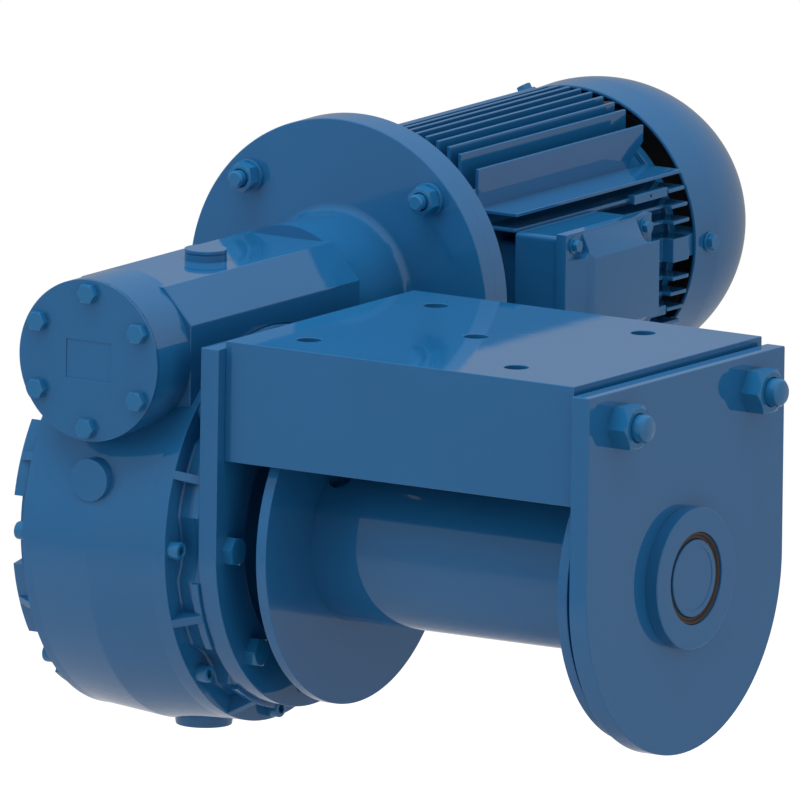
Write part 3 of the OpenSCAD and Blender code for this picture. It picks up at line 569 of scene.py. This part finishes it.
# --- Gear case covers -----------------------------------------------------------------
# Iron covers, turned where they meet the case: a shoulder for eight cap screws, a neck
# scooped out round each screw, a flange left as pads between them, and eight cast ribs.
RIB_T, SCOOP_HALF, SHOULDER_IN, SHOULDER_OUT = 6.4, 10.5, 63.3, 57.1


def side_cover(s, shoulder, face, pad_r, flange_t, neck_r, scoop_r, scoop_at):
    """A cover on the side s of the gear case's middle plane, in rows of (along, radius by
    angle). The neck's radius is the smaller of its own and the scoops' circles,
    m cos(a) - root(R^2 - m^2 sin^2(a)) at the angle a from a screw; outside 10.5 degrees
    the flange stands out to the pads' radius."""
    part = np.radians(np.r_[np.linspace(0, SCOOP_HALF, 15), SCOOP_HALF + 0.03, np.linspace(11.5, 22.5, 12)])
    off = np.concatenate([part, part[-2::-1]])[:-1]
    eighth = np.cumsum(np.r_[0, np.abs(np.diff(np.r_[off, 0]))])[:-1]
    turn = np.concatenate([eighth + k * pi / 4 for k in range(8)])
    off = np.tile(off, 8)
    scooped = off < radians(SCOOP_HALF + 0.02)
    scoop = scoop_at * np.cos(off) - np.sqrt(np.maximum(scoop_r ** 2 - (scoop_at * np.sin(off)) ** 2, 0))
    neck = np.where(scooped, np.minimum(scoop, neck_r), neck_r)
    rim = np.where(scooped, neck, pad_r)
    end, back = HOUSING_END_R, face - flange_t
    rows = [(50, 0 * neck), (50, end), (shoulder - 0.6, end), (shoulder - 0.2, end - 0.2), (shoulder, end - 0.6)]
    rows += [(shoulder + 1.8 * (1 - cos(a)), neck + 1.8 * (1 - sin(a))) for a in np.linspace(0, pi / 2, 5)]
    rows += [(back, neck), (back, rim - 0.5), (back + 0.15, rim - 0.15), (back + 0.5, rim), (face - 0.5, rim),
             (face - 0.15, rim - 0.15), (face, rim - 0.5), (face, 0 * neck)]
    along = np.array([row[0] for row in rows])
    radius = np.array([row[1] + 0 * neck for row in rows])
    points = np.stack([GEAR_X + s * along[:, None] + 0 * radius, radius * np.cos(turn), radius * np.sin(turn)], -1)
    parts = [(points.reshape(-1, 3), grid(*radius.shape))]
    rib_line = [(shoulder - 1, neck_r - 8), (shoulder - 1, end), (shoulder, end - 0.3), (face - 0.3, pad_r + 0.2),
                (face - 0.3, neck_r - 8)]
    rib = blank(soften(rib_line, [0.5, 0.3, 0.3, 0.5, 0.5]), [], RIB_T, 0.6)
    for angle in np.radians(np.arange(8) * 45 + 22.5):
        parts.append(lay(rib, s * X, np.cos(angle) * Y + np.sin(angle) * Z, (GEAR_X, 0, 0)))
    return parts


spigot_line = [(-16, 0), (-16, 89.8), (-13.5, 89.8), (-13.5, 34), (-8, 34), (-8, 28.3), (-12, 28.3), (-12, 0)]
spigot = turned(soften(spigot_line, [0, 0, 0.5, 1, 0.3, 0.3, 0, 0], closed=False), sides=160)
assemble("inner_cover_finish", side_cover(1, SHOULDER_IN, 82.3, 130.0, 6.0, 126.5, 56, 175.5) + [spigot],
         gearbox_paint)
assemble("outer_cover_finish", side_cover(-1, SHOULDER_OUT, 70.0, 135.0, 9.0, 124.0, 47, 173),
         gearbox_paint)

# --- Gear case screws and bolts -------------------------------------------------------
# Eight M8 cap screws with hexagon sockets hold each cover; eight M12 hexagon bolts hold
# the gear side plate to the inner cover. All were fitted before the winch was sprayed.


def cap_screw(head, height, key, sides=48):
    """A cap screw's head on z = 0: a cylinder with a rounded rim and a hexagonal well,
    whose radius is half the key over cos of the angle from the nearest flat."""
    t = np.linspace(0, 2 * pi, sides, endpoint=False)
    well = key / 2 / np.cos(flat_angle(t))
    one = np.ones_like(t)
    radius = np.stack([0 * one, head / 2 * one, head / 2 * one, (head / 2 - 0.4) * one, (head / 2 - 1.2) * one,
                       well + 0.5, well, well, 0 * one])
    z = np.array([0, 0, height - 1.2, height - 0.35, height, height, height - 0.5, height * 0.45, height * 0.4])
    points = np.stack([radius * np.cos(t), radius * np.sin(t), z[:, None] + 0 * radius], -1)
    return points.reshape(-1, 3), grid(9, sides)


SCREW_R, BOLT_R = 133.0, 109.5
ring = np.radians(np.arange(8) * 45)
for name, s, shoulder in (("inner_cover_screws", 1, SHOULDER_IN), ("outer_cover_screws", -1, SHOULDER_OUT)):
    places = [(GEAR_X + s * shoulder, SCREW_R * np.cos(a), SCREW_R * np.sin(a)) for a in ring]
    heads = [lay(cap_screw(13, 9, 6), s * Y, Z, place, 11) for place in places]
    assemble(name + "_finish", heads, fastener_paint, crease=40)
places = [(0, BOLT_R * np.cos(a), BOLT_R * np.sin(a)) for a in ring]
heads = [lay(hexagon(19, 8), Y, Z, place, 20) for place in places]
shanks = [turned([(-14.5, 0), (-14.5, 6), (0.2, 6), (0.2, 0)], at=place, sides=24) for place in places]
assemble("side_plate_bolts_finish", heads + shanks, fastener_paint, crease=25)

# --- Oil filler cap -------------------------------------------------------------------
# A round screwed cap with a groove under its rim, on the worm case's flat top.
cap_line = soften([(-0.5, 0), (-0.5, 15), (4.6, 15), (4.8, 14.1), (5.4, 14.1), (5.6, 15.2), (8, 15.2), (8, 0)],
                  [0, 0, 0.2, 0.2, 0.2, 0.2, 0.6, 0], closed=False)
assemble("oil_filler_cap_finish", [turned(cap_line, Z, WORM_AT + (0, 5, 50.3), 96)], gearbox_paint)

# --- Worm end cover -------------------------------------------------------------------
# A turned disc over the worm's front bearing, with a shallow blank recess, on six bolts.
front, end_bolt_r = -146.9, 48.5
disc_line = circle(SNOUT_R, sides=160)
recess = soften([(-18.75, -14), (18.75, -14), (18.75, 14), (-18.75, 14)], 0.4)
assemble("worm_end_cover_finish",
         [lay(blank(disc_line, [recess], 3, 0.5), X, Z, WORM_AT + (0, front + 1.5, 0)),
          turned([(front + 1.5, 50), (front + 1.5, SNOUT_R), (front + 12, SNOUT_R), (front + 12, 50)], Y, WORM_AT, 160),
          lay(blank(circle(50), [], 8, 0.3), X, Z, WORM_AT + (0, front + 0.8 + 4, 0))], gearbox_paint)
sixths = np.radians(90 + np.arange(6) * 60)
places = [WORM_AT + (end_bolt_r * np.cos(a), front, end_bolt_r * np.sin(a)) for a in sixths]
assemble("worm_cover_bolts_finish", [lay(hexagon(13, 5.5), X, Z, place, 28) for place in places],
         fastener_paint, crease=25)

# --- Motor adapter --------------------------------------------------------------------
# The round neck cast behind the worm case, which spreads through a fillet into the
# gearbox's half of the flange pair.
FLANGE_FACE, MOTOR_FACE, FLANGE_BACK, FLANGE_R = 178.0, 192.0, 206.5, 125.0
swell = [(FLANGE_FACE + 6 * (sin(a) - 1), 58.5 + 6 * (1 - cos(a))) for a in np.linspace(0, pi / 2, 7)]
disc = soften([(FLANGE_FACE, 66), (FLANGE_FACE, FLANGE_R), (MOTOR_FACE, FLANGE_R), (MOTOR_FACE, 66)], [0, 1.0, 0.15, 0])
neck_line = [(112, 0), (112, 58.5)] + swell + disc.tolist() + [(MOTOR_FACE, 0)]
assemble("motor_adapter_finish", [turned(neck_line, Y, WORM_AT, 240)], gearbox_paint)

# --- Motor flange ---------------------------------------------------------------------
# The motor's own 250 mm flange, cast in one with its front shield.
motor_paint = painted("motor_paint", shade=0.12, grain=0.15, peel=0.2)
shield_line = soften([(MOTOR_FACE, 0), (MOTOR_FACE, FLANGE_R), (FLANGE_BACK, FLANGE_R), (FLANGE_BACK, 93), (248, 85),
                      (250, 80), (250, 0)], [0, 0.15, 1.0, 4, 2, 0.5, 0], closed=False)
assemble("motor_flange_finish", [turned(shield_line, Y, WORM_AT, 240)], motor_paint)

# --- Flange studs ---------------------------------------------------------------------
# Four M12 studs with a washer and a nut in front and a hexagon head behind.
STUD_R, SEAT = 107.5, FLANGE_FACE - 2.5
washer = soften([(SEAT, 0), (SEAT, 12), (FLANGE_FACE, 12), (FLANGE_FACE, 0)], [0, 0.5, 0, 0], closed=False)
shank = [(FLANGE_FACE - 19, 0), (FLANGE_FACE - 19, 4.6), (FLANGE_FACE - 17.6, 6), (FLANGE_BACK, 6), (FLANGE_BACK, 0)]
nut_parts = []
for a in np.radians(45 + np.arange(4) * 90):
    spot = WORM_AT + (STUD_R * np.cos(a), 0, STUD_R * np.sin(a))
    nut_parts += [turned(washer, Y, spot, 48), lay(hexagon(19, 10, 12.1), X, Z, spot + (0, SEAT, 0), 15),
                  lay(hexagon(19, 7.5), Z, X, spot + (0, FLANGE_BACK, 0), 15), turned(shank, Y, spot, 40)]
assemble("flange_studs_finish", nut_parts, fastener_paint, crease=40)

# --- Motor frame and fins -------------------------------------------------------------
# A cast frame with thin cooling fins: upright above and below, level at the sides, whose
# outermost ones close the corners. The near level fins are lower in front of their step,
# and a small drilled pad is cast on the outermost of these above and below.
FRAME_R, TIP_R, FIN_START, FIN_END, FIN_T = 81.0, 104.0, 262.0, 477.0, 2.6
UPRIGHT_PITCH, OUTERMOST, LEVELS = 9.4, 62, (20.16, 31.36, 42.56, 53.76)
frame_line = soften([(247, 0), (247, FRAME_R), (479, FRAME_R), (479, 0)], [0, 0.8, 0.8, 0], closed=False)
assemble("motor_frame_finish", [turned(frame_line, Y, WORM_AT, 200)], motor_paint)


def upright(offset, cut):
    """An upright fin's blank in (y, z) at an offset from the axis: from the frame's circle
    to the tip circle, its lower rear end cut away on a slant on the outermost."""
    root, tip = sqrt(FRAME_R ** 2 - offset ** 2) - 1.5, sqrt(TIP_R ** 2 - offset ** 2)
    line = [(FIN_START, root), (FIN_START, tip), (FIN_END, tip)]
    line += [(FIN_END, tip - 12), (FIN_END - 17, tip - 24.7), (FIN_END - 17, root)] if cut else [(FIN_END, root)]
    return blank(soften(line[::-1], [0.5] * (len(line) - 3) + [0.8, 0.8, 0.3]), [], FIN_T, 0.55)


for name, s in (("top_fins", 1), ("bottom_fins", -1)):
    offsets = (-OUTERMOST, *np.arange(-5, 6) * UPRIGHT_PITCH, OUTERMOST)
    stack = [lay(upright(x, abs(x) == OUTERMOST), Y, s * Z, WORM_AT + (x, 0, 0)) for x in offsets]
    assemble(name + "_finish", stack, motor_paint)


def level(height, thick, low, start):
    """A level fin's blank in (y, across) at a height h from the axis. Its tip is at
    105.6 - 0.0034 h^2, at most the tip radius, and lower in front of a step 22 mm from its
    rear end where low is true."""
    root = max(sqrt(FRAME_R ** 2 - height ** 2) - 2.5, 62.5 if height > 50 else 0)
    tip = min(105.6 - 0.0034 * height ** 2, TIP_R)
    line = [(start, root), (start, tip), (FIN_END, tip), (FIN_END, root)]
    if low:
        under = min(94.6, tip - 4)
        step = FIN_END - 22
        line = [(start, root), (start, under), (step, under), (step, tip), (FIN_END, tip), (FIN_END, root)]
    radii = [0.3, 1.0, 0.5, 1.0, 3.0, 0.3] if low else [0.3, 1.0, 1.0, 0.3]
    return blank(soften(line[::-1], radii[::-1]), [], thick, 0.55)


for name, s in (("near_side_fins", 1), ("far_side_fins", -1)):
    low = s == 1
    behind_box = 358.3 if low else FIN_START
    stack = [lay(level(8.5, 17, low, behind_box), Y, s * X, WORM_AT)]
    for height in LEVELS:
        fin = level(height, FIN_T, low and height < 50, FIN_START if height > 40 else behind_box)
        stack += [lay(fin, Y, s * X, WORM_AT + (0, 0, z)) for z in (-height, height)]
    if low:
        pad_line = soften([(412, -3.3), (455, -3.3), (455, 3.3), (412, 3.3)], 0.8)
        pad = blank(pad_line, [circle(1.1, (433.5, 0), 20)], 6.5, 0.5)
        stack += [lay(pad, Y, Z, WORM_AT + (95.25, 0, z)) for z in (-LEVELS[2], LEVELS[2])]
    assemble(name + "_finish", stack, motor_paint)

# --- Rear end shield ------------------------------------------------------------------
# The motor's rear casting, with three lugs that carry the fan cowl.
rear_line = soften([(479, 0), (479, 85), (489, 85), (497, 40), (497, 0)], [0, 1, 3, 3, 0], closed=False)
lug = soften([(71, 479), (100.2, 479), (100.2, 507), (71, 507)], 1.5)
thirds = [np.cos(a) * X + np.sin(a) * Z for a in np.radians([0, 120, 240])]
lugs = [lay(blank(lug, [], 16, 0.8), out, Y, WORM_AT) for out in thirds]
assemble("rear_end_shield_finish", [turned(rear_line, Y, WORM_AT, 160)] + lugs, motor_paint)

# --- Fan ------------------------------------------------------------------------------
# A moulded fan on the motor shaft's end: a back plate with straight blades, which shows
# through the guard and darkens the gap in front of the cowl.
fan_plastic = moulded("fan_plastic", (0.018, 0.018, 0.020), 0.45, 0.2)
hub_line = soften([(511, 0), (511, 86), (514, 86), (514, 30), (541, 30), (541, 22), (537, 18), (537, 0)],
                  [0, 1, 1, 3, 1.5, 1, 1, 0], closed=False)
shaft_stub = turned(soften([(496, 0), (496, 14), (551, 14), (551, 0)], [0, 0, 1, 0], closed=False), Y, WORM_AT, 48)
blade = blank(soften([(28, 513.5), (85, 513.5), (85, 532), (79, 538), (28, 538)], 2), [], 3, 0.9)
blades = [lay(blade, np.cos(a) * X + np.sin(a) * Z, Y, WORM_AT) for a in np.radians(np.arange(9) * 40)]
assemble("fan_finish", [turned(hub_line, Y, WORM_AT, 96), shaft_stub] + blades, fan_plastic)

# --- Fan cowl and guard ---------------------------------------------------------------
# A pressed steel cowl with a domed end and a rolled front edge, and a guard of welded
# rings and bars in its round inlet.
cowl_paint = painted("cowl_paint", shade=0.08, grain=0.0, peel=0.15)
DOME_START, DOME_R, COWL_R, COWL_WALL = 513.0, 122.0, 104.0, 2.4
dome_y = np.linspace(DOME_START, 586, 40)
dome = COWL_R - DOME_R + np.sqrt(DOME_R ** 2 - (dome_y - DOME_START) ** 2)
outside = [(486, COWL_R - 1), *zip(dome_y, dome), (591, 74.6), (595, 70.0), (597.4, 67.2), (598, 65.6), (598, 52)]
inside = [(595.6, 52), (595.6, 64.1), (592.8, 67.6), *zip(dome_y[::-1], dome[::-1] - COWL_WALL),
          (486, COWL_R - 1 - COWL_WALL)]
lip_round = [(485.6, COWL_R - 2.7), (485.6, COWL_R - 1.7)]
assemble("fan_cowl_finish", [turned(outside + inside + lip_round, Y, WORM_AT, 256, closed=True)],
         cowl_paint)
wire = circle(1.25, sides=12)
rings = [turned(wire + (596.4, d / 2), Y, WORM_AT, 96, closed=True) for d in range(20, 116, 16)]
bar = blank(soften([(9, -1.4), (54, -1.4), (54, 1.4), (9, 1.4)], 0.5), [], 2.6, 0.8)
rays = [np.cos(a) * X + np.sin(a) * Z for a in ring]
spokes = [lay(bar, out, np.cross(Y, out), WORM_AT + (0, 596.5, 0)) for out in rays]
assemble("fan_guard_finish", rings + spokes, cowl_paint)

# --- Cowl screws ----------------------------------------------------------------------
# Three M6 hexagon screws with washers, through the cowl into the rear shield's lugs.
screws = []
for radial in thirds:
    spot = WORM_AT + 103.6 * radial + (0, 502, 0)
    disc = lay(blank(circle(7.2, sides=40), [], 1.6, 0.4), Y, np.cross(radial, Y), spot + 0.8 * radial)
    screws += [disc, lay(hexagon(10, 4.4), Y, np.cross(radial, Y), spot + 1.4 * radial)]
assemble("cowl_screws_finish", screws, fastener_paint, crease=25)

# --- Terminal box ---------------------------------------------------------------------
# A die-cast box on a neck at the motor's near side: a base with rounded corners, a lid
# with a sloped raised middle and a pocket for a screw in each corner, and a plug below.
terminal_box_paint = painted("terminal_box_paint", shade=0.08, grain=0.08, peel=0.25)
LID_MID, BOX_SEAT, RIM_BACK, RIM_FACE = 314.35, 94.8, 131.6, 140.0
box_at = WORM_AT + (0, LID_MID, 0)
neck = drawn(soften([(-42, -32), (42, -32), (42, 32), (-42, 32)], 5), [(70, 0), (96, 0)], Y, Z, box_at)
base_line = soften([(-52.75, -42), (52.75, -42), (52.75, 42), (-52.75, 42)], 4)
base = drawn(base_line, eased_ends(BOX_SEAT, RIM_BACK + 0.2, 1.2), Y, Z, box_at)
assemble("terminal_box_finish", [neck, base], terminal_box_paint)


def eased(name, node, paint, width):
    """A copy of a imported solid, its doubles merged and flat faces joined, with a bevel on
    its edges: for a form whose planes and pockets are already right."""
    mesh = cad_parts[node].data.copy()
    work = bmesh.new()
    work.from_mesh(mesh)
    bmesh.ops.remove_doubles(work, verts=work.verts, dist=1e-6)
    bmesh.ops.dissolve_limit(work, angle_limit=radians(0.5), verts=work.verts, edges=work.edges)
    work.to_mesh(mesh)
    work.free()
    mesh.materials.clear()
    mesh.materials.append(paint)
    mesh.shade_smooth()
    piece = bpy.data.objects.new(name, mesh)
    bpy.context.scene.collection.objects.link(piece)
    edge = piece.modifiers.new("eased", "BEVEL")
    edge.width, edge.segments, edge.limit_method, edge.angle_limit = width, 3, "ANGLE", radians(12)
    edge.harden_normals = True
    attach(piece, "winch_frame")
    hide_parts(node)
    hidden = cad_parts[node].data.materials
    hidden.clear()
    hidden.append(paint)


eased("terminal_box_lid_finish", "terminal_box_lid", terminal_box_paint, 0.0008)
lid_screws = []
for y in (-1, 1):
    for z in (-1, 1):
        spot = WORM_AT + (RIM_FACE, LID_MID + y * (55.75 - 9.9), z * (45 - 8.7))
        lid_screws += [lay(blank(circle(6, sides=36), [], 1.4, 0.35), Y, Z, spot + (0.7, 0, 0)),
                       lay(hexagon(8, 4.2), Y, Z, spot + (1.2, 0, 0), 12)]
assemble("lid_screws_finish", lid_screws, fastener_paint, crease=25)
gland_plastic = moulded("gland_plastic", (0.02, 0.02, 0.022), 0.4, 0.15)
gland_spot = WORM_AT + ((BOX_SEAT + RIM_BACK) / 2, LID_MID, -42)
gland = turned(soften([(0, 0), (0, 11), (-10, 11), (-10, 0)], [0, 0, 2, 0], closed=False), Z, gland_spot, 64)
assemble("cable_gland_finish", [lay(hexagon(27, 6), Y, X, gland_spot), gland],
         gland_plastic, crease=25)
